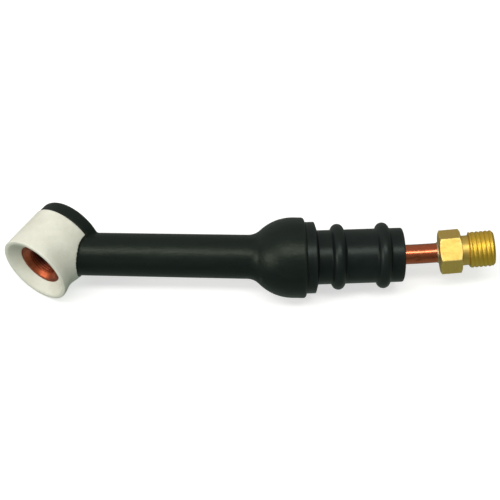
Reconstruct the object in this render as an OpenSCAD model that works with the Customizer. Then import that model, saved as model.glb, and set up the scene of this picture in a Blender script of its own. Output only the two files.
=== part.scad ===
// Rigid air-cooled TIG torch body, lying on its side.
// The handle seat's centre is the origin. +X runs along the handle axis to the cable end,
// +Y is the back cap's side, and +Z is square to the plane of the nozzle, neck and handle axes.

/* [Head] */
// Angle between the nozzle axis and the neck, in degrees
head_angle = 122; // [105:1:135]
// Distance from the handle seat to the electrode axis, along the neck
neck_reach = 85.1; // [75:0.5:110]
// Outer diameter of the white front insulator
insulator_d = 25.4; // [25:0.2:28]
// Length of the front insulator ahead of the neck axis
insulator_front = 8.6; // [8:0.1:10]
// Length of the front insulator behind the neck axis
insulator_rear = 7.9; // [7.8:0.1:9]
// Diameter of the insulator's mouth
mouth_d = 22.8; // [20:0.1:23.6]
// Depth of the copper face below the insulator's rim
mouth_depth = 2.9; // [2:0.1:4]
// Rounding of the insulator's outer rim
rim_round = 0.3; // [0.2:0.1:1]
// Width of the insulator's notch, where the neck's root fills it
notch_w = 16.4; // [15.6:0.1:17]
// Distance from the neck axis to the back of the rubber collar
collar_rear = 13.1; // [12.8:0.1:15]
// Outer diameter of the rubber collar
collar_d = 25.4; // [24:0.1:26]
// Rounding of the collar's back edge
collar_round = 2.2; // [1:0.1:3]
// Diameter of the back cap's seal seat in the collar
cap_seat_d = 15.2; // [14:0.1:16]

/* [Head copper] */
// Outer diameter of the copper head barrel
barrel_d = 15.6; // [15.4:0.1:17]
// Minor diameter of the collet body thread
collet_thread_d = 10.0; // [9:0.1:10.6]
// Minor diameter of the back cap thread
cap_thread_d = 10.0; // [9:0.1:10.6]
// Diameter of the gas gallery between the two threads
gallery_d = 11.6; // [11:0.1:12.4]
// Diameter of the countersink at the collet body's seat
seat_d = 13.0; // [11.5:0.1:14]

/* [Neck and bulb] */
// Neck diameter at the head
neck_d = 14.3; // [13:0.1:15]
// Neck diameter where the bulb starts
neck_end_d = 14.8; // [14:0.1:16]
// Greatest diameter of the bulb
bulb_d = 27.0; // [25:0.1:30]
// Length of the bulb's straight rear band
bulb_band = 4.0; // [2:0.1:6]
// Radius of the bulb's crown
crown_r = 16; // [12:0.5:20]
// Slope of the bulb where crown and throat meet, in degrees
flare_slope = 44; // [30:1:60]
// Angle between the neck and the handle axis, in degrees
neck_bend = 3.6; // [0:0.1:6]

/* [Handle spigot] */
// Diameter of the register ring that centres the handle
register_d = 24.0; // [22:0.1:26]
// Length of the register ring
register_len = 3.3; // [2:0.1:5]
// Length of the cone behind the register ring
register_cone = 0.9; // [0.4:0.1:2]
// Diameter of the ribbed spigot
spigot_d = 18.2; // [16:0.1:20]
// Distance from the handle seat to the spigot's end
spigot_len = 32.8; // [28:0.1:40]
// Distance from the handle seat to each rib
rib_places = [11.0, 26.1];
// Radius of a rib's half-round section
rib_r = 2.2; // [1:0.1:2.6]

/* [Tube and cable fitting] */
// Outer diameter of the copper tube
tube_d = 6.6; // [6:0.1:7.2]
// Bore of the copper tube and of the fitting
tube_bore_d = 4.0; // [3:0.1:4]
// Length of tube that shows between the spigot and the fitting
tube_show = 12.5; // [6:0.1:20]
// Bend of the tube between the spigot and the fitting, in degrees
tube_bend = 7.0; // [1:0.1:10]
// Side to which the tube bends, as a turn about the handle axis from +Y, in degrees
tube_side = 102; // [0:1:180]
// Width of the fitting's hexagon across its flats
hex_flats = 13.0; // [12:0.5:15]
// Length of the hexagon
hex_len = 7.2; // [6:0.1:12]
// Turn of the hexagon about the fitting's axis, in degrees
hex_turn = 2; // [0:1:60]
// Diameter of the relief groove
groove_d = 10.0; // [9:0.1:11]
// Length of the relief groove
groove_len = 2.4; // [1:0.1:3]
// Outside diameter of the cable thread
cable_thread_d = 12.0; // [11.5:0.1:13]
// Length of the cable thread
cable_thread_len = 8.6; // [7:0.1:14]

/* [Hidden] */
$fn = 96;
// Extra reach that lets a cut run clear of the faces it cuts
clear = 0.5;
// Long enough to pass through the whole head
through = 60;

insulator_r = insulator_d / 2;
collar_r = collar_d / 2;
mouth_r = mouth_d / 2;
barrel_r = barrel_d / 2;
neck_r = neck_d / 2;
neck_end_r = neck_end_d / 2;
bulb_r = bulb_d / 2;
tube_r = tube_d / 2;
tube_bore_r = tube_bore_d / 2;
spigot_r = spigot_d / 2;
register_r = register_d / 2;

// The barrel runs from the mouth's floor to the back cap's seal seat
barrel_front = insulator_front - mouth_depth;
seat_depth = 3.0;
barrel_rear = collar_rear - seat_depth;
countersink = (seat_d - collet_thread_d) / 2 / tan(50);
gallery_front = 0.6;
gallery_rear = 5.4;
socket_floor_r = gallery_d / 2 + 0.8;

// Hard inner moulding: a sleeve on the barrel and a sleeve on the tube
sleeve_wall = 1.5;
sleeve_r = barrel_r + sleeve_wall;
sleeve_front = barrel_front - 1.6;
neck_sleeve_r = 5.9;
sleeve_start = 6;
plug_r = 9.6;
plug_len = 9;

// How far a rib's centre lies below the spigot's surface
rib_sink = 0.25;

// The neck's root sits a little below the insulator's surface, and fills its notch.
// The notch's round end is centred this far behind the neck axis
root_r = notch_w / 2;
root_inset = 0.3;
root_shift = 0.9;

// Bulb outline: a throat arc and a crown arc that meet at flare_slope
crown_start = -bulb_band;
bulb_over = 1;
meet_x = crown_start - crown_r * sin(flare_slope);
meet_r = bulb_r - crown_r * (1 - cos(flare_slope));
throat_r = (meet_r - neck_end_r) / (1 - cos(flare_slope));
throat_x = meet_x - throat_r * sin(flare_slope);

// Tube bend under the handle seat, and the bend before the fitting
seat_bend_r = 60;
seat_tangent = seat_bend_r * tan(neck_bend / 2);
end_bend_r = tube_show / (tube_bend * PI / 180);
socket_len = 6;
bend_lap = 1;
bend_draw = 0.02;

// Fitting details
hex_corner_r = hex_flats / sqrt(3);
hex_chamfer = 0.9;
thread_chamfer = 0.8;
cone_mouth_r = 3.9;
cone_len = (cone_mouth_r - tube_bore_r) / tan(30);
fitting_len = hex_len + groove_len + cable_thread_len;

// Braze fillets
head_braze_r = tube_r + 1.5;
head_braze_len = 6;
end_braze_r = tube_r + 0.7;
end_braze_len = 0.8;

// --- Places ---

// Children drawn along +Z come out along +X
module along_x() {
    rotate([0, 90, 0]) children();
}

// The neck's frame, turned about the handle seat
module on_neck() {
    rotate([0, 0, -neck_bend]) children();
}

// The neck's frame with its origin on the electrode axis
module at_crossing() {
    on_neck() translate([-neck_reach, 0, 0]) children();
}

// Children's +Z runs along the electrode axis, out of the nozzle's side
module at_head() {
    at_crossing() rotate([0, 90, -head_angle]) children();
}

// The fitting's frame: its origin is the hexagon's face that meets the tube
module at_fitting() {
    rotate([tube_side, 0, 0]) translate([spigot_len, end_bend_r, 0]) rotate([0, 0, tube_bend])
        translate([0, -end_bend_r, 0]) rotate([-tube_side, 0, 0]) along_x() children();
}

// --- Shared shapes ---

// Round bar on the electrode axis, between two distances from the neck axis
module head_bar(r, rear, front) {
    at_head() translate([0, 0, rear]) cylinder(r = r, h = front - rear);
}

// Round bar on the neck axis, from the electrode axis towards the handle
module neck_bar(r, start, end) {
    at_crossing() along_x() translate([0, 0, start]) cylinder(r = r, h = end - start);
}

// Arc of round bar that starts at the origin along +X and turns towards +Y.
// Both its ends run a little further, into the straight bars that it joins
module bent_bar(r, bend_r, angle) {
    over = bend_lap / bend_r * 180 / PI;
    translate([0, bend_r, 0]) rotate([0, 0, -90 - over])
        rotate_extrude(angle = angle + 2 * over) translate([bend_r, 0]) circle(r = r);
}

// The conductor tube's whole run: straight bars of radius r, and bends of radius r_bent
module tube_run(r, r_bent, end_len) {
    neck_bar(r, 0, neck_reach - seat_tangent);
    on_neck() translate([-seat_tangent, 0, 0]) bent_bar(r_bent, seat_bend_r, neck_bend);
    translate([seat_tangent, 0, 0]) along_x() cylinder(r = r, h = spigot_len - seat_tangent);
    rotate([tube_side, 0, 0]) translate([spigot_len, 0, 0]) bent_bar(r_bent, end_bend_r, tube_bend);
    at_fitting() cylinder(r = r, h = end_len);
}

// The tube's outside, drawn down slightly where it is bent
module tube_outside() {
    tube_run(tube_r, tube_r - bend_draw, socket_len);
}

// The notch that the neck's root fills in the insulator: round, and open towards the rear
module neck_way(r) {
    at_crossing() translate([0, root_shift, 0]) along_x() cylinder(r = r, h = 2 * insulator_r);
    at_crossing() translate([0, root_shift, -r]) cube([2 * insulator_r, 2 * insulator_r, 2 * r]);
}

// --- Pieces ---

module insulator_section() {
    difference() {
        union() {
            translate([barrel_r, -insulator_rear])
                square([insulator_r - barrel_r, insulator_rear + insulator_front - rim_round]);
            translate([barrel_r, insulator_front - rim_round - clear])
                square([insulator_r - rim_round - barrel_r, rim_round + clear]);
            translate([insulator_r - rim_round, insulator_front - rim_round]) circle(r = rim_round);
        }
        polygon([
            [barrel_r - clear, barrel_front],
            [barrel_r, barrel_front],
            [mouth_r, insulator_front],
            [mouth_r, insulator_front + clear],
            [barrel_r - clear, insulator_front + clear]
        ]);
        translate([0, -insulator_rear - clear])
            square([sleeve_r, insulator_rear + clear + sleeve_front]);
    }
}

module front_insulator() {
    color("ivory") difference() {
        at_head() rotate_extrude() insulator_section();
        neck_way(root_r);
    }
}

module barrel_cavity() {
    translate([0, 0, -barrel_rear - clear])
        cylinder(d = cap_thread_d, h = barrel_rear - gallery_rear + 2 * clear);
    translate([0, 0, -gallery_rear]) cylinder(d = gallery_d, h = gallery_rear - gallery_front);
    translate([0, 0, -gallery_front - clear])
        cylinder(d = collet_thread_d, h = gallery_front + barrel_front + 2 * clear);
    translate([0, 0, barrel_front - countersink])
        cylinder(d1 = collet_thread_d, d2 = seat_d, h = countersink + 0.001);
}

module head_barrel() {
    color("#b5673f") difference() {
        head_bar(barrel_r, -barrel_rear, barrel_front);
        at_head() barrel_cavity();
        neck_bar(tube_bore_r, 0, insulator_r);
        difference() {
            neck_bar(tube_r, 0, 2 * insulator_r);
            head_bar(socket_floor_r, -through, through);
        }
    }
}

module conductor_tube() {
    color("#c87850") difference() {
        tube_outside();
        tube_run(tube_bore_r, tube_bore_r + bend_draw, socket_len + clear);
        head_bar(socket_floor_r, -through, through);
    }
}

// Fillet of silver solder where the tube enters the barrel
module head_braze() {
    color("#c9b27a") difference() {
        neck_bar(head_braze_r, sleeve_start, barrel_r + head_braze_len);
        head_bar(barrel_r, -through, through);
        neck_bar(tube_r, 0, 2 * insulator_r);
    }
}

module inner_moulding() {
    color("#3a2f2a") difference() {
        union() {
            head_bar(sleeve_r, -barrel_rear, sleeve_front);
            neck_bar(neck_sleeve_r, sleeve_start, neck_reach);
        }
        head_bar(barrel_r, -through, through);
        neck_bar(tube_r, 0, neck_reach + clear);
        neck_bar(head_braze_r, 0, barrel_r + head_braze_len);
        translate([-plug_len, -through / 2, -through / 2]) cube(through);
    }
}

module collar_section() {
    translate([0, -collar_rear + collar_round])
        square([collar_r, collar_rear - collar_round - insulator_rear]);
    translate([0, -collar_rear]) square([collar_r - collar_round, collar_round + clear]);
    translate([collar_r - collar_round, -collar_rear + collar_round])
        circle(r = collar_round);
}

// Outline of the neck and bulb, as radius against distance from the handle seat
module neck_section() {
    difference() {
        union() {
            polygon([
                [0, -neck_reach],
                [neck_r, -neck_reach],
                [neck_end_r, throat_x],
                [neck_end_r, meet_x],
                [meet_r, meet_x],
                [meet_r, crown_start],
                [bulb_r, crown_start],
                [bulb_r, bulb_over],
                [0, bulb_over]
            ]);
            intersection() {
                translate([bulb_r - crown_r, crown_start]) circle(r = crown_r);
                translate([0, meet_x]) square([bulb_r, crown_start - meet_x]);
            }
            translate([neck_end_r, throat_x])
                square([meet_r - neck_end_r, meet_x - throat_x]);
        }
        translate([neck_end_r + throat_r, throat_x]) circle(r = throat_r);
    }
}

module rubber_jacket() {
    color("#22282a") difference() {
        union() {
            at_head() rotate_extrude() collar_section();
            on_neck() along_x() rotate_extrude() neck_section();
            intersection() {
                neck_way(root_r);
                head_bar(insulator_r - root_inset, -insulator_rear - clear, insulator_front);
            }
        }
        head_bar(sleeve_r, -barrel_rear, through);
        head_bar(cap_seat_d / 2, -through, through);
        neck_bar(neck_sleeve_r, 0, neck_reach + clear);
        translate([-plug_len, 0, 0]) along_x() cylinder(r = plug_r, h = plug_len + clear);
        translate([0, -through / 2, -through / 2]) cube(through);
    }
}

module spigot_section() {
    polygon([
        [0, -plug_len],
        [plug_r, -plug_len],
        [plug_r, 0],
        [register_r, 0],
        [register_r, register_len],
        [spigot_r, register_len + register_cone],
        [spigot_r, spigot_len - clear],
        [spigot_r - clear, spigot_len],
        [0, spigot_len]
    ]);
    for (x = rib_places) {
        translate([spigot_r - rib_sink, x]) circle(r = rib_r);
    }
}

module handle_spigot() {
    color("#262b2d") difference() {
        along_x() rotate_extrude() spigot_section();
        tube_outside();
    }
}

// Hexagon with its corners turned down at both ends
module fitting_hex() {
    intersection() {
        rotate([0, 0, hex_turn]) cylinder(r = hex_corner_r, h = hex_len, $fn = 6);
        rotate_extrude() polygon([
            [0, 0],
            [hex_corner_r - hex_chamfer, 0],
            [hex_corner_r, hex_chamfer / 2],
            [hex_corner_r, hex_len - hex_chamfer / 2],
            [hex_corner_r - hex_chamfer, hex_len],
            [0, hex_len]
        ]);
    }
}

module cable_fitting() {
    color("#c9a94f") at_fitting() difference() {
        union() {
            fitting_hex();
            translate([0, 0, hex_len - clear]) cylinder(d = groove_d, h = groove_len + 2 * clear);
            translate([0, 0, hex_len + groove_len])
                cylinder(d = cable_thread_d, h = cable_thread_len - thread_chamfer);
            translate([0, 0, fitting_len - thread_chamfer])
                cylinder(d1 = cable_thread_d, d2 = cable_thread_d - 2 * thread_chamfer,
                         h = thread_chamfer);
        }
        translate([0, 0, -clear]) cylinder(r = tube_r, h = socket_len + clear);
        cylinder(r = tube_bore_r, h = fitting_len + clear);
        translate([0, 0, fitting_len - cone_len])
            cylinder(r1 = tube_bore_r, r2 = cone_mouth_r, h = cone_len + 0.001);
    }
}

// Fillet of solder where the tube enters the fitting
module fitting_braze() {
    color("#d8c48a") difference() {
        at_fitting() translate([0, 0, -end_braze_len])
            cylinder(r1 = tube_r + 0.1, r2 = end_braze_r, h = end_braze_len);
        tube_outside();
    }
}

front_insulator();
head_barrel();
inner_moulding();
rubber_jacket();
handle_spigot();
conductor_tube();
head_braze();
cable_fitting();
fitting_braze();
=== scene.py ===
import math

import bpy
import numpy as np
from mathutils import Matrix, Vector


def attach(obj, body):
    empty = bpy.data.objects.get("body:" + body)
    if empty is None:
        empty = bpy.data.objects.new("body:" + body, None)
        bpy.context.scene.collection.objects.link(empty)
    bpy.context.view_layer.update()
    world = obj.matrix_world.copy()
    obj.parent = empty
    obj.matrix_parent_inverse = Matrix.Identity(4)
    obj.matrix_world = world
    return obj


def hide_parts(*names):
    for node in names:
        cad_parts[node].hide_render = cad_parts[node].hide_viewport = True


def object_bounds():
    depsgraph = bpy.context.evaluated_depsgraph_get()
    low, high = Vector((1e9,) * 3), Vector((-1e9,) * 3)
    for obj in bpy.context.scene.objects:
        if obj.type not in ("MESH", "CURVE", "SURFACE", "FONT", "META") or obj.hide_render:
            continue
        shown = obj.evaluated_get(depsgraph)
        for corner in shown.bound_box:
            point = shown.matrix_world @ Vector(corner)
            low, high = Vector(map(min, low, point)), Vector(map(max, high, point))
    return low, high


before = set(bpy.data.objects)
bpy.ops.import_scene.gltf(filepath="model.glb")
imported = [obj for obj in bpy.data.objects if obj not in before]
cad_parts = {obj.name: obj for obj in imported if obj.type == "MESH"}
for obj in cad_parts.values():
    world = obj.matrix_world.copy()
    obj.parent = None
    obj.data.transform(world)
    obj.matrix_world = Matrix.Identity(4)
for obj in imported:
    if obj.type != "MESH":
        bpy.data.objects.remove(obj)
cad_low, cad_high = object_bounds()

MM = 0.001
TURN = 2 * math.pi

# --- Sizes in millimetres, in the CAD's frame ---
HEAD_ANGLE, NECK_BEND, NECK_REACH = math.radians(122), math.radians(3.6), 85.1
INSULATOR_R, INSULATOR_FRONT, INSULATOR_REAR = 12.7, 8.6, -7.9
MOUTH_R, BARREL_R, BARREL_FRONT, BARREL_REAR = 11.4, 7.8, 5.7, -10.1
SLEEVE_R, SLEEVE_FRONT = 9.3, 4.1
RIM_ROUND, EDGE_ROUND, SEAM_GAP = 0.3, 0.25, 0.04
WAIST, WAIST_SPREAD, WAIST_REAR, WAIST_FRONT, WAIST_SKEW = 0.9, 1.05, -3.0, 8.4, 1.15
NOTCH_R, NOTCH_SHIFT, NOTCH_GAP, NOTCH_ROUND = 8.2, 0.9, 0.12, 0.3
ROOT_INSET, ROOT_REAR, ROOT_FRONT_GAP, ROOT_FILLET = 0.3, -8.6, 2, 0.35
COLLAR_R, COLLAR_REAR, COLLAR_ROUND, COLLAR_FRONT_ROUND = 12.45, -13.1, 2.2, 0.3
COLLAR_FILLET, CAP_SEAT_R, CAP_SEAT_ROUND = 0.5, 7.6, 0.45
HEAD_MINOR_R, HEAD_MAJOR_R, HEAD_PITCH = 5.0, 5.2, 0.8
GALLERY_R, GALLERY_FRONT, GALLERY_REAR = 5.8, -0.6, -5.4
SEAT_R, SEAT_SLOPE = 6.5, math.radians(50)
NECK_R, NECK_END_R, FLARE = 7.15, 7.4, math.radians(44)
BULB_R, BULB_BAND, BULB_ROUND, CROWN_R = 13.5, 4.0, 0.9, 16.0
NECK_BORE_R, PLUG_R, PLUG_LEN = 5.9, 9.6, 9.0
REGISTER_R, REGISTER_LEN, REGISTER_CONE = 12.0, 3.3, 0.9
SPIGOT_R, SPIGOT_LEN = 9.1, 32.8
RIB_PLACES, RIB_R, RIB_SINK = (11.0, 26.1), 2.2, 0.25
RIB_FILLET, RIB_FILLET_REACH = 0.55, 0.45
TUBE_R, TUBE_BORE_R, TUBE_SHOW, SEAT_BEND_R = 3.3, 2.0, 12.5, 60.0
TUBE_BEND, TUBE_SIDE = math.radians(7.0), math.radians(102)
END_BEND_R = TUBE_SHOW / TUBE_BEND
DENT_DEPTH, DENT_AT, DENT_TURN = 0.22, 37.6, math.radians(160)
DENT_LENGTH, DENT_SPREAD = 0.9, 0.30
SOCKET_LEN, SOCKET_FLOOR_R = 6.0, 6.6
HEX_APOTHEM, HEX_LEN, HEX_TURN = 6.5, 7.2, math.radians(2)
HEX_CHAMFER, HEX_CORNER_SOFT = 0.9, 0.01125
GROOVE_R, GROOVE_LEN, GROOVE_FILLET = 5.0, 2.4, 0.3
CABLE_R, CABLE_LEN, CABLE_PITCH, CABLE_DEPTH, CABLE_CHAMFER = 6.0, 8.6, 1.45, 0.27, 0.8
CABLE_START, CABLE_RUN_IN = HEX_LEN + GROOVE_LEN, 0.45
FITTING_LEN = CABLE_START + CABLE_LEN
CONE_MOUTH_R, CONE_HALF_ANGLE = 3.9, math.radians(30)


# --- Frames ---
def neck_coordinates(x, y):
    """Row frame to neck frame: distance from the electrode axis, and height on the cap's side."""
    c, s = math.cos(NECK_BEND), math.sin(NECK_BEND)
    return x * c - y * s + NECK_REACH, x * s + y * c


def head_coordinates(along, side):
    """Neck frame to head frame: distance along the electrode axis, and across it."""
    c, s = math.cos(HEAD_ANGLE), math.sin(HEAD_ANGLE)
    return along * c - side * s, along * s + side * c


def neck_point(along, side, z):
    """The point in the row's frame, from the neck's."""
    c, s = math.cos(NECK_BEND), math.sin(NECK_BEND)
    x = along - NECK_REACH
    return np.stack(np.broadcast_arrays(x * c + side * s, -x * s + side * c, z), -1)


def head_point(length, across, z):
    """The point in the row's frame, from the head's."""
    c, s = math.cos(HEAD_ANGLE), math.sin(HEAD_ANGLE)
    return neck_point(length * c + across * s, -length * s + across * c, z)


def bent(turn, offset, y, z):
    """A point in the tube's last bend: turn along it, and offset past it, with y and z across."""
    c, s = math.cos(TUBE_SIDE), math.sin(TUBE_SIDE)
    out, level = y * c + z * s - END_BEND_R, z * c - y * s
    x = SPIGOT_LEN + offset * math.cos(turn) - out * math.sin(turn)
    out = END_BEND_R + offset * math.sin(turn) + out * math.cos(turn)
    return np.stack(np.broadcast_arrays(x, out * c - level * s, out * s + level * c), -1)


def fitting_point(x, y, z):
    """The point in the row's frame, from the cable fitting's."""
    return bent(TUBE_BEND, x, y, z)


# --- Meshes ---
def new_object(name, data):
    made = bpy.data.objects.new(name, data)
    bpy.context.scene.collection.objects.link(made)
    return made


def add_piece(node, points, faces, slot, material, crease=40):
    """A finished piece that stands for that CAD node."""
    name = "made_" + node
    mesh = bpy.data.meshes.new(name)
    mesh.from_pydata((np.asarray(points).reshape(-1, 3) * MM).tolist(), [], faces)
    mesh.validate()
    mesh.shade_smooth()
    mesh.set_sharp_from_angle(angle=math.radians(crease))
    piece = new_object(name, mesh)
    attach(piece, "root")
    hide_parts(node)
    mesh.materials.append(material)


def ring_faces(rows, columns):
    """Quads of a grid whose rows and columns both close on themselves."""
    r, c = np.meshgrid(np.arange(rows), np.arange(columns), indexing="ij")
    r2, c2 = (r + 1) % rows, (c + 1) % columns
    quads = np.stack([r * columns + c, r * columns + c2, r2 * columns + c2, r2 * columns + c], -1)
    return quads.reshape(-1, 4).tolist()


def rounded(corners, steps):
    """A closed outline from (x, r, rounding) corners, each with its own arc of that many points."""
    outline = []
    count = len(corners)
    for i in range(count):
        here = np.array(corners[i][:2], float)
        before = np.array(corners[i - 1][:2], float) - here
        after = np.array(corners[(i + 1) % count][:2], float) - here
        radius = corners[i][2]
        if not radius:
            outline.append(here)
            continue
        before /= np.linalg.norm(before)
        after /= np.linalg.norm(after)
        half = math.acos(max(-1.0, min(1.0, float(before @ after)))) / 2
        reach = radius / math.tan(half)
        centre = here + (before + after) / np.linalg.norm(before + after) * radius / math.sin(half)
        start, end = here + before * reach - centre, here + after * reach - centre
        first = math.atan2(start[1], start[0])
        sweep = (math.atan2(end[1], end[0]) - first + math.pi) % TURN - math.pi
        for t in np.linspace(0, 1, steps):
            angle = first + sweep * t
            outline.append(centre + radius * np.array([math.cos(angle), math.sin(angle)]))
    return np.array(outline)


def refine(outline, longest):
    """Splits the outline's long straight runs, so that the grid's quads stay well shaped."""
    points = []
    for a, b in zip(outline, np.roll(outline, -1, 0)):
        count = max(1, int(math.ceil(np.linalg.norm(b - a) / longest)))
        points += [a + (b - a) * k / count for k in range(count)]
    return np.array(points)


def revolve(place, outline, columns, shift=None, wobble=None):
    """A grid that turns an (x, r) outline about the X axis of the frame that place maps from.

    wobble adds to each radius, and shift moves each row's centre sideways."""
    angle = np.linspace(0, TURN, columns, endpoint=False)[None, :]
    x, r = outline[:, :1], outline[:, 1:2]
    if wobble is not None:
        r = r + wobble(x, r, angle)
    offset = 0 if shift is None else shift(x, r)
    points = place(x + 0 * angle, r * np.cos(angle) + offset, r * np.sin(angle))
    return points, ring_faces(len(outline), columns)


def triangle_wave(phase, crest, root):
    """A thread's section, 0 at its root and 1 at its crest, with flats of those shares."""
    t = np.abs(((phase % 1.0) - 0.5) * 2)
    return np.clip((t - root) / (1 - crest - root), 0, 1)


# --- Implicit solids ---
def round_max(a, b, radius):
    """Where two solids meet in an outer edge, that edge rounded."""
    return np.minimum(np.maximum(a, b), -radius) + np.hypot(
        np.maximum(a + radius, 0), np.maximum(b + radius, 0))


def round_min(a, b, radius):
    """Where two solids join in an inner corner, that corner filleted."""
    return np.maximum(np.minimum(a, b), radius) - np.hypot(
        np.maximum(radius - a, 0), np.maximum(radius - b, 0))


def surface_net(field, low, high, step):
    """Vertices and outward quads of the surface where field is zero."""
    low, step = np.array(low, float), np.array(step, float)
    counts = np.ceil((np.array(high) - low) / step).astype(int) + 1
    axes = [low[k] + step[k] * np.arange(counts[k]) for k in range(3)]
    value = field(*np.meshgrid(*axes, indexing="ij"))
    inside = value < 0
    corners = [(i, j, k) for i in (0, 1) for j in (0, 1) for k in (0, 1)]
    size = counts - 1

    def at(grid, corner):
        return grid[corner[0]:corner[0] + size[0], corner[1]:corner[1] + size[1],
                    corner[2]:corner[2] + size[2]]

    filled = sum(at(inside, c).astype(np.int8) for c in corners)
    cells = np.argwhere((filled > 0) & (filled < 8))
    number = np.full(size, -1)
    number[tuple(cells.T)] = np.arange(len(cells))
    total, hits = np.zeros((len(cells), 3)), np.zeros(len(cells))
    for first in corners:
        for axis in range(3):
            if first[axis]:
                continue
            second = tuple(1 if k == axis else first[k] for k in range(3))
            v0 = value[tuple((cells + first).T)]
            v1 = value[tuple((cells + second).T)]
            cross = (v0 < 0) != (v1 < 0)
            place = np.tile(np.array(first, float), (len(cells), 1))
            place[:, axis] = v0 / np.where(cross, v0 - v1, 1)
            total += place * cross[:, None]
            hits += cross
    points = low + step * (cells + total / hits[:, None])
    faces = []
    for axis in range(3):
        b, c = (axis + 1) % 3, (axis + 2) % 3
        ahead = np.roll(inside, -1, axis)
        change = inside != ahead
        edges = np.argwhere(change)
        keep = (edges[:, axis] < size[axis]) & (edges[:, b] > 0) & (edges[:, c] > 0)
        keep &= (edges[:, b] < size[b]) & (edges[:, c] < size[c])
        edges = edges[keep]
        quad = []
        for db, dc in ((-1, -1), (0, -1), (0, 0), (-1, 0)):
            cell = edges.copy()
            cell[:, b] += db
            cell[:, c] += dc
            quad.append(number[tuple(cell.T)])
        quad = np.stack(quad, -1)
        outward = inside[tuple(edges.T)]
        faces.append(np.where(outward[:, None], quad, quad[:, ::-1]))
    return points, np.concatenate(faces)


def settle(points, faces, field, longest):
    """Evens the net out, and brings each vertex onto the exact surface."""
    small, rounds = 0.002, 3

    def project(p):
        for _ in range(rounds):
            value = field(*p.T)
            slope = np.stack([
                (field(*(p + small * d).T) - field(*(p - small * d).T)) / (2 * small)
                for d in np.eye(3)], -1)
            # Where the field is nearly flat, a vertex must not be thrown far
            square = np.maximum((slope ** 2).sum(-1), 0.05)
            move = slope * (value / square)[:, None]
            length = np.linalg.norm(move, axis=1, keepdims=True)
            p = p - move * np.minimum(1, longest / np.maximum(length, 1e-9))
        return p

    ends = np.concatenate([faces[:, [i, (i + 1) % 4]] for i in range(4)])
    degree = np.bincount(ends[:, 0], minlength=len(points)) + 1e-9
    points = project(points)
    for _ in range(rounds):
        mean = np.stack([
            np.bincount(ends[:, 0], weights=points[ends[:, 1], k], minlength=len(points)) / degree
            for k in range(3)], -1)
        points = project(points * 0.5 + mean * 0.5)
    return points


# --- Materials ---
def set_stops(ramp, stops):
    """Gives a colour ramp its stops, as positions with colours or plain numbers."""
    while len(ramp.elements) < len(stops):
        ramp.elements.new(0.5)
    for element, (position, colour) in zip(ramp.elements, stops):
        element.position = position
        element.color = (*colour, 1) if isinstance(colour, tuple) else (colour,) * 3 + (1,)


class Look:
    """A node material, with short ways to add the nodes that these materials share."""

    def __init__(self, name, **constants):
        self.material = bpy.data.materials.new(name)
        self.material.use_nodes = True
        self.tree = self.material.node_tree
        self.shader = self.tree.nodes["Principled BSDF"]
        for key, value in constants.items():
            self.shader.inputs[key.replace("_", " ")].default_value = value
        self.place = self.node("ShaderNodeTexCoord").outputs["Object"]
        self.height = None

    def node(self, kind, settings=None, **links):
        made = self.tree.nodes.new(kind)
        for key, value in (settings or {}).items():
            setattr(made, key, value)
        for key, value in links.items():
            self.put(made.inputs[key.replace("_", " ")], value)
        return made

    def put(self, socket, value):
        if isinstance(value, bpy.types.NodeSocket):
            self.tree.links.new(value, socket)
        else:
            socket.default_value = value

    def turned(self, scale=(1, 1, 1), turn=(0, 0, 0), origin=(0, 0, 0)):
        """Object coordinates in millimetres, in that turned and placed frame, then scaled."""
        moved = self.node("ShaderNodeMapping", {"vector_type": "TEXTURE"},
                          Vector=self.place, Location=[float(v) * MM for v in origin],
                          Rotation=turn, Scale=(MM, MM, MM))
        scaled = self.node("ShaderNodeMapping", Vector=moved.outputs[0], Scale=scale)
        return scaled.outputs[0]

    def noise(self, vector, size, detail, rough=0.55, warp=0.0):
        """Noise of about that many features to the millimetre."""
        made = self.node("ShaderNodeTexNoise", Vector=vector, Scale=size, Detail=detail,
                         Roughness=rough, Distortion=warp)
        return made.outputs["Fac"]

    def ramp(self, value, *stops):
        """Colours or plain numbers against a value."""
        made = self.node("ShaderNodeValToRGB", Fac=value)
        set_stops(made.color_ramp, stops)
        return made.outputs["Color"]

    def span(self, value, start, end, low=0.0, high=1.0):
        """Low to high as the value goes from start to end."""
        made = self.node("ShaderNodeMapRange", Value=value, From_Min=start, From_Max=end,
                         To_Min=low, To_Max=high)
        return made.outputs[0]

    def mix(self, share, a, b):
        """Colour a, with that share of colour b."""
        made = self.node("ShaderNodeMix", {"data_type": "RGBA"})
        for index, value in ((0, share), (6, a), (7, b)):
            if isinstance(value, tuple) and len(value) == 3:
                value = (*value, 1)
            self.put(made.inputs[index], value)
        return made.outputs[2]

    def times(self, a, b):
        made = self.node("ShaderNodeMath", {"operation": "MULTIPLY"})
        self.put(made.inputs[0], a)
        self.put(made.inputs[1], b)
        return made.outputs[0]

    def axes(self, vector):
        return self.node("ShaderNodeSeparateXYZ", Vector=vector).outputs

    def colour(self, value):
        self.put(self.shader.inputs["Base Color"], value)

    def worn(self, value, share, tone):
        """The surface's colour, with that share of tone on outer edges, from pointiness."""
        point = self.node("ShaderNodeNewGeometry").outputs["Pointiness"]
        edges = self.span(point, 0.5, 0.56)
        self.colour(self.mix(self.times(edges, share), value, tone))

    def rough(self, value, low, high):
        self.put(self.shader.inputs["Roughness"], self.span(value, 0.0, 1.0, low, high))

    def bump(self, value, depth, strength=1.0):
        """Adds a bump of that depth in millimetres on top of those already there."""
        made = self.node("ShaderNodeBump", Height=value, Distance=depth * MM, Strength=strength)
        if self.height is not None:
            self.put(made.inputs["Normal"], self.height)
        self.height = made.outputs[0]
        self.put(self.shader.inputs["Normal"], self.height)


# The head's and the neck's frames, for grain that runs along them
HEAD_CENTRE, HEAD_TURN = head_point(0.0, 0.0, 0.0), (0, 0, -NECK_BEND - HEAD_ANGLE)
NECK_TURN = (0, 0, -NECK_BEND)


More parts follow.
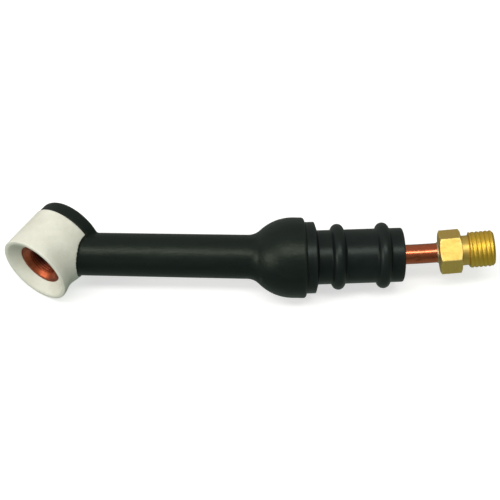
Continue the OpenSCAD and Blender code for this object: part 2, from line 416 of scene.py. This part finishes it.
def insulator_look():
    """Off-white moulding, smeared with brown along the head and lightly specked."""
    look = Look("cream_moulding", IOR=1.5, Subsurface_Weight=0.06, Subsurface_Scale=0.002,
                Subsurface_Radius=(1.0, 0.8, 0.6))
    place = look.turned()
    cloud = look.noise(place, 0.16, 3)
    base = look.ramp(cloud, (0.3, (0.73, 0.715, 0.615)), (0.7, (0.81, 0.80, 0.71)))
    smear = look.noise(look.turned((0.25, 0.6, 0.6), HEAD_TURN), 0.9, 6, 0.65, 0.6)
    base = look.mix(look.ramp(smear, (0.52, 0.0), (0.80, 0.35)), base, (0.60, 0.575, 0.49))
    speck = look.noise(place, 4.5, 2, 0.5)
    base = look.mix(look.ramp(speck, (0.72, 0.0), (0.80, 0.4)), base, (0.36, 0.33, 0.27))
    look.colour(base)
    look.rough(smear, 0.36, 0.58)
    look.bump(look.noise(place, 7.0, 3), 0.02)
    look.bump(look.noise(place, 0.7, 2), 0.10)
    return look.material


def rubber_look():
    """Matt black rubber with grain along the neck, grey dust and paler edges."""
    look = Look("black_rubber", IOR=1.48, Specular_IOR_Level=0.20,
                Specular_Tint=(0.88, 1.0, 0.78, 1))
    along = look.turned((0.12, 1.0, 1.0), NECK_TURN)
    place = look.turned()
    grain = look.noise(along, 2.2, 5, 0.6)
    tone = look.noise(along, 0.35, 4)
    base = look.ramp(tone, (0.3, (0.0055, 0.0086, 0.0082)), (0.72, (0.0090, 0.0128, 0.0116)))
    dust = look.noise(place, 0.55, 6, 0.7, 0.8)
    base = look.mix(look.ramp(dust, (0.58, 0.0), (0.86, 0.45)), base, (0.024, 0.030, 0.024))
    look.worn(base, 0.35, (0.030, 0.036, 0.031))
    look.rough(grain, 0.28, 0.42)
    look.bump(grain, 0.035)
    look.bump(look.noise(place, 5.0, 3, 0.6), 0.030)
    look.bump(look.noise(place, 0.25, 2), 0.20, 0.7)
    return look.material


def moulding_look():
    """Hard black plastic, scuffed round its ribs, with faint moulding lines."""
    look = Look("black_moulding", IOR=1.52, Specular_IOR_Level=0.20,
                Specular_Tint=(0.86, 1.0, 0.92, 1))
    place = look.turned()
    rings = look.noise(look.turned((1.6, 0.12, 0.12)), 1.0, 4, 0.6)
    tone = look.noise(place, 0.3, 4)
    base = look.ramp(tone, (0.3, (0.0050, 0.0078, 0.0076)), (0.75, (0.0086, 0.0120, 0.0112)))
    scuff = look.noise(look.turned((0.5, 1.3, 1.3)), 0.8, 7, 0.7, 0.5)
    base = look.mix(look.ramp(scuff, (0.60, 0.0), (0.84, 0.5)), base, (0.030, 0.035, 0.031))
    look.worn(base, 0.45, (0.036, 0.042, 0.038))
    look.rough(scuff, 0.26, 0.42)
    look.bump(rings, 0.02)
    look.bump(look.noise(place, 6.0, 3, 0.6), 0.022)
    return look.material


def tube_copper_look():
    """Drawn tube: bright along its lines, with a few browned patches."""
    look = Look("drawn_copper", Metallic=1.0)
    lines = look.noise(look.turned((0.08, 1.5, 1.5)), 2.4, 4, 0.6)
    place = look.turned()
    blotch = look.noise(place, 0.40, 5, 0.62, 0.5)
    base = look.ramp(lines, (0.25, (0.38, 0.078, 0.032)), (0.75, (0.62, 0.170, 0.078)))
    base = look.mix(look.ramp(blotch, (0.56, 0.0), (0.84, 0.7)), base, (0.22, 0.042, 0.019))
    look.worn(base, 0.5, (0.85, 0.36, 0.19))
    look.rough(blotch, 0.16, 0.30)
    look.bump(lines, 0.010)
    look.bump(look.noise(place, 1.0, 3), 0.03)
    return look.material


def head_copper_look():
    """Machined copper browned by brazing, with painted shade deep in its bore, darkest down one
    side.
    """
    look = Look("head_copper", Metallic=1.0)
    place = look.turned((1, 1, 1), HEAD_TURN, HEAD_CENTRE)
    rings = look.noise(look.turned((4.0, 0.15, 0.15), HEAD_TURN, HEAD_CENTRE), 1.0, 3, 0.6)
    blotch = look.noise(place, 0.35, 5, 0.6, 0.6)
    base = look.ramp(blotch, (0.30, (0.55, 0.130, 0.052)), (0.70, (0.31, 0.070, 0.034)))
    base = look.mix(look.ramp(rings, (0.45, 0.0), (0.85, 0.3)), base, (0.24, 0.058, 0.032))
    # Painted shade: the bore's colour goes darker deeper in and towards one side, where little
    # light reaches
    axes = look.axes(place)
    depth = look.span(axes["X"], 5.0, 1.5)
    side = look.span(axes["Y"], -3.0, 4.0, 0.95, 0.45)
    look.colour(look.mix(look.times(depth, side), base, (0.060, 0.014, 0.014)))
    look.rough(blotch, 0.36, 0.52)
    look.bump(rings, 0.012)
    look.bump(look.noise(place, 1.3, 3), 0.03)
    return look.material


def brass_look():
    """Turned brass, yellower and dirtier along its thread than on the hexagon."""
    look = Look("turned_brass", Metallic=1.0)
    origin = fitting_point(0.0, 0.0, 0.0)
    side = Matrix.Rotation(TUBE_SIDE, 3, "X")
    turn = tuple((side @ Matrix.Rotation(TUBE_BEND, 3, "Z") @ side.inverted()).to_euler())
    rings = look.noise(look.turned((3.4, 0.05, 0.05), turn, origin), 2.0, 3, 0.6)
    place = look.turned()
    stain = look.noise(place, 0.45, 6, 0.65, 0.7)
    base = look.ramp(rings, (0.25, (0.67, 0.46, 0.108)), (0.75, (0.75, 0.530, 0.145)))
    base = look.mix(look.ramp(stain, (0.52, 0.0), (0.84, 0.55)), base, (0.56, 0.38, 0.085))
    along = look.axes(look.turned((1, 1, 1), turn, origin))["X"]
    thread = look.span(along, CABLE_START - 0.6, CABLE_START + 0.8)
    base = look.mix(look.times(thread, 0.8), base, (0.76, 0.49, 0.040))
    look.worn(base, 0.4, (0.96, 0.80, 0.36))
    look.rough(stain, 0.43, 0.57)
    look.bump(rings, 0.006)
    look.bump(look.noise(place, 0.9, 3), 0.05)
    look.bump(look.noise(place, 0.22, 2), 0.16)
    return look.material


def solder_look():
    """Silver solder with the streaks of its flow."""
    look = Look("silver_solder", Metallic=1.0)
    flow = look.noise(look.turned(), 1.2, 5, 0.6, 1.0)
    look.colour(look.ramp(flow, (0.3, (0.40, 0.29, 0.15)), (0.7, (0.64, 0.52, 0.30))))
    look.rough(flow, 0.32, 0.55)
    look.bump(flow, 0.08)
    return look.material


def phenolic_look():
    """Brown cloth-filled moulding."""
    look = Look("phenolic", IOR=1.55)
    cloth = look.noise(look.turned((2.5, 2.5, 0.5)), 1.0, 5, 0.6)
    look.colour(look.ramp(cloth, (0.3, (0.030, 0.018, 0.011)), (0.75, (0.075, 0.045, 0.026))))
    look.rough(look.noise(look.turned(), 1.0, 4), 0.38, 0.6)
    look.bump(cloth, 0.04)
    return look.material


# --- Front insulator and rubber jacket ---
def notch(along, side, z, radius):
    """The way that the neck's root takes: round, and open towards the head's rear."""
    side = np.minimum(side - NOTCH_SHIFT, 0)
    tube = np.hypot(side, z) - radius
    return np.maximum(tube, -along)


def waist(length, across, z):
    """How far the head narrows under the neck, between its rim and the neck's root."""
    turn = np.arctan2(z, across)
    run = np.clip((length - WAIST_REAR) / (WAIST_FRONT - WAIST_REAR), 0, 1)
    around = np.exp(-(turn / WAIST_SPREAD) ** 4)
    return WAIST * around * np.sin(math.pi * run ** WAIST_SKEW) ** 2


def insulator_field(x, y, z):
    """The white ring: flared mouth, barrel bore, sleeve pocket and notch for the neck's root."""
    along, side = neck_coordinates(x, y)
    length, across = head_coordinates(along, side)
    r = np.hypot(across, z)
    slope = (MOUTH_R - BARREL_R) / (INSULATOR_FRONT - BARREL_FRONT)
    mouth = (r - BARREL_R - (length - BARREL_FRONT) * slope) / math.hypot(1, slope)
    skin = r - INSULATOR_R + waist(length, across, z)
    solid = round_max(skin, length - INSULATOR_FRONT, RIM_ROUND)
    solid = round_max(solid, INSULATOR_REAR + SEAM_GAP - length, EDGE_ROUND)
    solid = round_max(solid, -mouth, EDGE_ROUND)
    solid = np.maximum(solid, BARREL_R - r)
    solid = np.maximum(solid, -np.maximum(r - SLEEVE_R, length - SLEEVE_FRONT))
    return round_max(solid, -notch(along, side, z, NOTCH_R), NOTCH_ROUND)


def neck_outline():
    """Radius of the neck and bulb against distance from the handle seat."""
    meet_x = -BULB_BAND - CROWN_R * math.sin(FLARE)
    meet_r = BULB_R - CROWN_R * (1 - math.cos(FLARE))
    throat = (meet_r - NECK_END_R) / (1 - math.cos(FLARE))
    throat_x = meet_x - throat * math.sin(FLARE)
    x = np.arange(-NECK_REACH - 2, 4, 0.05)
    straight = NECK_R + (NECK_END_R - NECK_R) * (x + NECK_REACH) / (throat_x + NECK_REACH)
    hollow = NECK_END_R + throat - np.sqrt(np.maximum(throat ** 2 - (x - throat_x) ** 2, 0))
    crown = BULB_R - CROWN_R + np.sqrt(np.maximum(CROWN_R ** 2 - (x + BULB_BAND) ** 2, 0))
    parts = [x < throat_x, x < meet_x, x < -BULB_BAND]
    radius = np.select(parts, [straight, hollow, crown], BULB_R)
    return x, radius, np.gradient(radius, x)


OUTLINE = neck_outline()


def jacket_field(x, y, z):
    """The rubber: neck and bulb, rear collar and root, less what sits inside them."""
    along, side = neck_coordinates(x, y)
    length, across = head_coordinates(along, side)
    r, neck_r = np.hypot(across, z), np.hypot(side, z)
    table_x, table_r, table_slope = OUTLINE
    spot = along - NECK_REACH
    slope = np.interp(spot, table_x, table_slope)
    neck = (neck_r - np.interp(spot, table_x, table_r)) / np.hypot(1, slope)
    neck = np.maximum(neck, -along)
    neck = round_max(neck, x, BULB_ROUND)
    collar = round_max(r - COLLAR_R, COLLAR_REAR - length, COLLAR_ROUND)
    collar = round_max(collar, length - INSULATOR_REAR + SEAM_GAP, COLLAR_FRONT_ROUND)
    skin = r - INSULATOR_R + ROOT_INSET + waist(length, across, z)
    root = np.maximum(notch(along, side, z, NOTCH_R - NOTCH_GAP), skin)
    ends = np.maximum(ROOT_REAR - length, length - INSULATOR_FRONT + ROOT_FRONT_GAP)
    root = np.maximum(root, ends)
    solid = round_min(neck, root, ROOT_FILLET)
    solid = round_min(solid, collar, COLLAR_FILLET)
    solid = round_max(solid, CAP_SEAT_R - r, CAP_SEAT_ROUND)
    solid = np.maximum(solid, -np.maximum(r - SLEEVE_R, BARREL_REAR - length))
    solid = np.maximum(solid, -np.maximum(neck_r - NECK_BORE_R, -along))
    return np.maximum(solid, -np.maximum(np.hypot(y, z) - PLUG_R, -PLUG_LEN - x))


def from_field(node, field, low, high, step, slot, material):
    """The piece whose surface is where field is zero, inside the box from low to high."""
    points, faces = surface_net(field, low, high, step)
    points = settle(points, faces, field, min(step) * 0.7)
    add_piece(node, points, faces.tolist(), slot, material, crease=35)


from_field("front_insulator", insulator_field, low=(-102, -16, -14), high=(-70, 19.5, 14),
           step=(0.27, 0.27, 0.27), slot="white_insulator", material=insulator_look())
from_field("rubber_jacket", jacket_field, low=(-101, -15, -14.2), high=(1, 26, 14.2),
           step=(0.42, 0.36, 0.36), slot="black_rubber", material=rubber_look())


# --- Head barrel ---
def head_barrel():
    """The turned barrel: thread and conical seat in front, gas gallery, and thread behind."""
    seat_depth = (SEAT_R - HEAD_MINOR_R) / math.tan(SEAT_SLOPE)
    outline = refine(rounded([
        (BARREL_REAR, HEAD_MINOR_R, 0.25),
        (BARREL_REAR, BARREL_R, 0.2),
        (BARREL_FRONT, BARREL_R, 0.2),
        (BARREL_FRONT, SEAT_R, 0.15),
        (BARREL_FRONT - seat_depth, HEAD_MINOR_R, 0.1),
        (GALLERY_FRONT, HEAD_MINOR_R, 0.1),
        (GALLERY_FRONT, GALLERY_R, 0.1),
        (GALLERY_REAR, GALLERY_R, 0.1),
        (GALLERY_REAR, HEAD_MINOR_R, 0.1),
    ], 4), 0.085)

    def thread(x, r, angle):
        """How deep both threads are cut, clear of the seat, the gallery and the rear end."""
        bore = np.abs(r - HEAD_MINOR_R) < 1e-6
        front = (x > GALLERY_FRONT + 0.35) & (x < BARREL_FRONT - seat_depth - 0.15)
        rear = (x < GALLERY_REAR - 0.35) & (x > BARREL_REAR + 0.45)
        cut = 1 - triangle_wave(x / HEAD_PITCH - angle / TURN, crest=0.12, root=0.18)
        return np.where(bore & (front | rear), cut * (HEAD_MAJOR_R - HEAD_MINOR_R), 0)

    return revolve(head_point, outline, columns=144, wobble=thread)


add_piece("head_barrel", *head_barrel(), "copper", head_copper_look(), crease=30)


# --- Handle spigot ---
def spigot_outline():
    """The moulding's section, with its ribs and their small fillets."""
    step, arc_points = 0.16, 6
    x = np.arange(REGISTER_LEN + REGISTER_CONE, SPIGOT_LEN - 0.6, step)
    surface = np.full(len(x), SPIGOT_R)
    for place in RIB_PLACES:
        top = SPIGOT_R - RIB_SINK + np.sqrt(np.maximum(RIB_R ** 2 - (x - place) ** 2, 0))
        surface = np.maximum(surface, np.where(np.abs(x - place) <= RIB_R, top, 0))
    kernel = np.hanning(int(RIB_FILLET / step) * 2 + 1)
    padded = np.pad(surface, len(kernel) // 2, mode="edge")
    smooth = np.convolve(padded, kernel / kernel.sum(), mode="valid")
    near = np.zeros(len(x))
    for place in RIB_PLACES:
        away = (np.abs(x - place) - RIB_R) / RIB_FILLET_REACH
        near = np.maximum(near, np.exp(-away ** 2))
    surface = surface + (smooth - surface) * near
    body = rounded([
        (-PLUG_LEN, TUBE_R, 0), (-PLUG_LEN, PLUG_R, 0.5), (0, PLUG_R, 0.2),
        (0, REGISTER_R, 0.25), (REGISTER_LEN, REGISTER_R, 0.35),
        (REGISTER_LEN + REGISTER_CONE, SPIGOT_R, 0.3), (SPIGOT_LEN, SPIGOT_R, 0.5),
        (SPIGOT_LEN, TUBE_R, 0.25)], arc_points)
    # The ribbed run goes in after the sharp first corner and five rounded ones, clear of the arcs
    split = 1 + 5 * arc_points
    ribbed = np.stack([x, surface], 1)[6:-4]
    return refine(np.concatenate([body[:split], ribbed, body[split:]]), 0.9)


def handle_spigot():
    """The plug, the register ring and the ribbed seat for the handle, turned about its axis."""
    def place(x, y, z):
        return np.stack(np.broadcast_arrays(x, y, z), -1)

    def shift(x, r):
        """The bore follows the tube, which leaves the handle's axis ahead of the seat."""
        bend = np.maximum(-x, 0) * math.tan(NECK_BEND)
        return np.where(r < TUBE_R + 0.5, bend, 0)

    return revolve(place, spigot_outline(), columns=160, shift=shift)


add_piece("handle_spigot", *handle_spigot(), "black_moulding", moulding_look())


# --- Conductor tube ---
def tube_stations():
    """For each ring along the tube, how far on it is and where its (y, z) points lie."""
    tangent = SEAT_BEND_R * math.tan(NECK_BEND / 2)
    stations = []
    for along in np.linspace(10, NECK_REACH - tangent, 24):
        stations.append((along - NECK_REACH, lambda y, z, along=along: neck_point(along, y, z)))
    for t in np.linspace(0, 1, 8)[1:-1]:
        def seat_bend(y, z, angle=-NECK_BEND * (1 - t)):
            reach = SEAT_BEND_R - y
            return np.stack([tangent + reach * math.sin(angle),
                             SEAT_BEND_R - reach * math.cos(angle), z], -1)
        stations.append((0.0, seat_bend))
    for x in np.linspace(tangent, SPIGOT_LEN, 12):
        stations.append((x, lambda y, z, x=x: np.stack([x + 0 * y, y, z], -1)))
    for t in np.linspace(0, 1, 60)[1:]:
        stations.append((SPIGOT_LEN + TUBE_SHOW * t,
                         lambda y, z, t=t: bent(TUBE_BEND * t, 0.0, y, z)))
    for x in np.linspace(0.5, SOCKET_LEN, 8):
        stations.append((SPIGOT_LEN + TUBE_SHOW + x, lambda y, z, x=x: fitting_point(x, y, z)))
    return stations


def conductor_tube():
    """The bent tube with its gas bore, cut to the barrel at its front end."""
    columns, stations = 96, tube_stations()
    angle = np.linspace(0, TURN, columns, endpoint=False)
    side, up = np.cos(angle), np.sin(angle)

    def saddle(radius):
        """The end that bears on the socket's floor, which is a cylinder about the barrel's axis."""
        y, z = radius * side, radius * up
        floor = np.sqrt(SOCKET_FLOOR_R ** 2 - z ** 2)
        return neck_point((floor - y * math.cos(HEAD_ANGLE)) / math.sin(HEAD_ANGLE), y, z)

    rows = [saddle(TUBE_R)]
    for run, ring in stations:
        away = ((run - DENT_AT) / DENT_LENGTH) ** 2 + ((angle - DENT_TURN) / DENT_SPREAD) ** 2
        radius = TUBE_R - DENT_DEPTH * np.exp(-away)
        rows.append(ring(radius * side, radius * up))
    for run, ring in reversed(stations):
        rows.append(ring(TUBE_BORE_R * side, TUBE_BORE_R * up))
    rows.append(saddle(TUBE_BORE_R))
    return np.array(rows), ring_faces(len(rows), columns)


add_piece("conductor_tube", *conductor_tube(), "copper", tube_copper_look())


# --- Cable fitting ---
def hexagon_radius(angle):
    """The hexagon's radius at each angle, with its corners just broken."""
    flats = HEX_TURN + (np.arange(6) + 0.5) * TURN / 6
    pull = np.cos(angle[:, None] - flats[None, :]) / HEX_APOTHEM
    top, blur = pull.max(1), HEX_CORNER_SOFT / HEX_APOTHEM
    return 1 / (top + blur * np.log(np.exp((pull - top[:, None]) / blur).sum(1)))


def cable_fitting():
    """Rings from the tube's socket over the hexagon, groove and thread, and back up the bore."""
    columns = 216
    angle = np.linspace(0, TURN, columns, endpoint=False)
    full, rings = np.ones(columns), []

    def ring(x, r):
        rings.append((x * full, r * full))

    # The hexagon, whose corners are turned off at both faces, half as deep as they are wide
    hexagon = hexagon_radius(angle)
    face_r = HEX_APOTHEM / math.cos(TURN / 12) - HEX_CHAMFER
    crease = np.maximum((hexagon - face_r) / 2, 0.02)
    rim = np.minimum(hexagon, face_r)
    ring(0, TUBE_R)
    for r in np.linspace(TUBE_R + 0.3, 5.9, 4):
        ring(0, r)
    ring(0, rim - 0.15)
    ring(0, rim)
    for share in (0.33, 0.66, 1.0):
        ring(crease * share, rim + (hexagon - rim) * share)
    for share in np.linspace(0, 1, 14)[1:-1]:
        ring(crease + (HEX_LEN - 2 * crease) * share, hexagon)
    for share in (1.0, 0.66, 0.33):
        ring(HEX_LEN - crease * share, rim + (hexagon - rim) * share)
    ring(HEX_LEN, rim)

    # The relief groove, with a fillet at its front
    for r in (6.2, 5.8, 5.45):
        ring(HEX_LEN, r)
    for t in np.linspace(0, math.pi / 2, 5):
        ring(HEX_LEN + GROOVE_FILLET * (1 - math.cos(t)),
             GROOVE_R + GROOVE_FILLET * (1 - math.sin(t)))
    ring(CABLE_START - 0.2, GROOVE_R)

    # The thread, which runs in over a short ramp and out under the end's chamfer
    for x in np.arange(CABLE_START, FITTING_LEN + 1e-6, 0.06):
        crest = triangle_wave(x / CABLE_PITCH - angle / TURN, crest=0.36, root=0.10)
        run_in = GROOVE_R + (CABLE_R - GROOVE_R) * min(1.0, (x - CABLE_START) / CABLE_RUN_IN)
        chamfer = CABLE_R - max(0.0, x - FITTING_LEN + CABLE_CHAMFER)
        ring(x, np.minimum(CABLE_R - CABLE_DEPTH * (1 - crest), min(run_in, chamfer)))

    # The end face, the conical seat and the bore, down to the tube's socket
    for r in np.linspace(CABLE_R - CABLE_CHAMFER - 0.2, CONE_MOUTH_R + 0.12, 3):
        ring(FITTING_LEN, r)
    ring(FITTING_LEN - 0.03, CONE_MOUTH_R + 0.02)
    cone = (CONE_MOUTH_R - TUBE_BORE_R) / math.tan(CONE_HALF_ANGLE)
    for share in np.linspace(0.03, 1, 8):
        ring(FITTING_LEN - cone * share, CONE_MOUTH_R + (TUBE_BORE_R - CONE_MOUTH_R) * share)
    for x in np.linspace(FITTING_LEN - cone - 1, SOCKET_LEN, 6):
        ring(x, TUBE_BORE_R)
    ring(SOCKET_LEN, TUBE_R)
    ring(SOCKET_LEN / 2, TUBE_R)
    x, r = np.array(rings).transpose(1, 0, 2)
    points = fitting_point(x, -r * np.sin(angle), r * np.cos(angle))
    return points, ring_faces(len(rings), columns)


add_piece("cable_fitting", *cable_fitting(), "brass", brass_look(), crease=25)


# --- Solder fillet at the fitting ---
def fitting_braze():
    """A small rippled fillet round the tube, against the hexagon's face."""
    outline = np.array([(-0.8, TUBE_R), (-0.78, 3.42), (-0.55, 3.50), (-0.35, 3.62),
                        (-0.18, 3.80), (-0.03, 4.0), (0.0, 3.9), (0.0, TUBE_R)])

    def lumps(x, r, angle):
        ripple = 0.05 * np.sin(3 * angle + 0.7) + 0.04 * np.sin(7 * angle + 2.1)
        return np.where(r > TUBE_R + 0.05, ripple * (r - TUBE_R) / 0.7, 0)

    return revolve(fitting_point, refine(outline, 0.2), columns=96, wobble=lumps)


SOLDER = solder_look()
add_piece("fitting_braze", *fitting_braze(), "solder", SOLDER, crease=50)

# The pieces sealed inside keep their CAD meshes, and take finished materials
for node, material in (("inner_moulding", phenolic_look()), ("head_braze", SOLDER)):
    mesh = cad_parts[node].data
    mesh.materials.clear()
    mesh.materials.append(material)


# --- Studio ---
def studio_floor():
    """A pale floor just under the object. It stays out of what the object reflects."""
    low, half = float(cad_low.z) - 0.0001, 3.0
    corners = [(-half, -half, low), (half, -half, low), (half, half, low), (-half, half, low)]
    mesh = bpy.data.meshes.new("studio_floor")
    mesh.from_pydata(corners, [], [(0, 1, 2, 3)])
    floor = new_object("studio_floor", mesh)
    look = Look("pale_floor", Roughness=0.9, Specular_IOR_Level=0.1,
                Emission_Color=(1, 1, 1, 1), Emission_Strength=0.58)
    cloud = look.noise(look.turned((0.01, 0.01, 0.01)), 1.0, 2)
    look.colour(look.ramp(cloud, (0.3, (0.58, 0.58, 0.58)), (0.7, (0.62, 0.62, 0.62))))
    mesh.materials.append(look.material)
    floor.visible_diffuse = floor.visible_glossy = False


def facing(axes, place):
    """The matrix of an object at that place whose own X, Y and Z lie along those axes."""
    return Matrix.Translation(place) @ Matrix(axes).transposed().to_4x4()


def softbox(name, place, aim, size, power, colour):
    """An area light that faces aim, with its first side along the object, or across it."""
    light = bpy.data.lights.new(name, "AREA")
    light.shape = "RECTANGLE"
    light.size, light.size_y = size
    light.energy = power
    light.color = colour
    away = (Vector(place) - Vector(aim)).normalized()
    across = Vector((0, 1, 0)) if abs(away.x) > 0.8 else Vector((1, 0, 0))
    across = (across - away * across.dot(away)).normalized()
    new_object(name, light).matrix_world = facing((across, away.cross(across), away), place)


def sky():
    """Soft light all round: bright above and behind, dim and green at the sides, paler below."""
    world = bpy.data.worlds.new("studio")
    bpy.context.scene.world = world
    world.use_nodes = True
    nodes, links = world.node_tree.nodes, world.node_tree.links
    towards = nodes.new("ShaderNodeVectorMath")
    towards.operation = "DOT_PRODUCT"
    towards.inputs[1].default_value = Vector((-0.25, 0.45, 0.85)).normalized()
    share = nodes.new("ShaderNodeMapRange")
    share.inputs["From Min"].default_value = -1.0
    shades = nodes.new("ShaderNodeValToRGB")
    set_stops(shades.color_ramp, (
        (0.06, (0.33, 0.39, 0.34)), (0.26, (0.130, 0.175, 0.145)),
        (0.55, (0.27, 0.29, 0.26)), (0.96, (0.50, 0.50, 0.48))))
    links.new(nodes.new("ShaderNodeTexCoord").outputs["Generated"], towards.inputs[0])
    links.new(towards.outputs["Value"], share.inputs["Value"])
    links.new(share.outputs[0], shades.inputs["Fac"])
    links.new(shades.outputs["Color"], nodes["Background"].inputs["Color"])


def camera():
    """A 90 mm lens, at the place and turn that were fitted to the photograph's outline."""
    place = Vector((-34.378, -254.494, 331.28)) * MM
    back = Vector((-0.03868, -0.61478, 0.78770)).normalized()
    right = Vector((0.03199, 0.78714, 0.61590)).cross(back).normalized()
    data = bpy.data.cameras.new("camera")
    data.sensor_width = 36
    data.lens = 90
    data.clip_start, data.clip_end = 0.01, 10
    made = new_object("camera", data)
    made.matrix_world = facing((right, back.cross(right), back), place)
    bpy.context.scene.camera = made


studio_floor()
softbox("key", (-0.10, -0.20, 0.69), (-0.02, 0, 0), (0.80, 0.15), 3.3, (1, 0.995, 0.96))
softbox("left", (-0.85, -0.30, 0.38), (-0.06, 0, 0), (0.40, 0.40), 3.2, (1, 0.99, 0.95))
sky()
camera()
bpy.context.scene.view_settings.view_transform = "Standard"
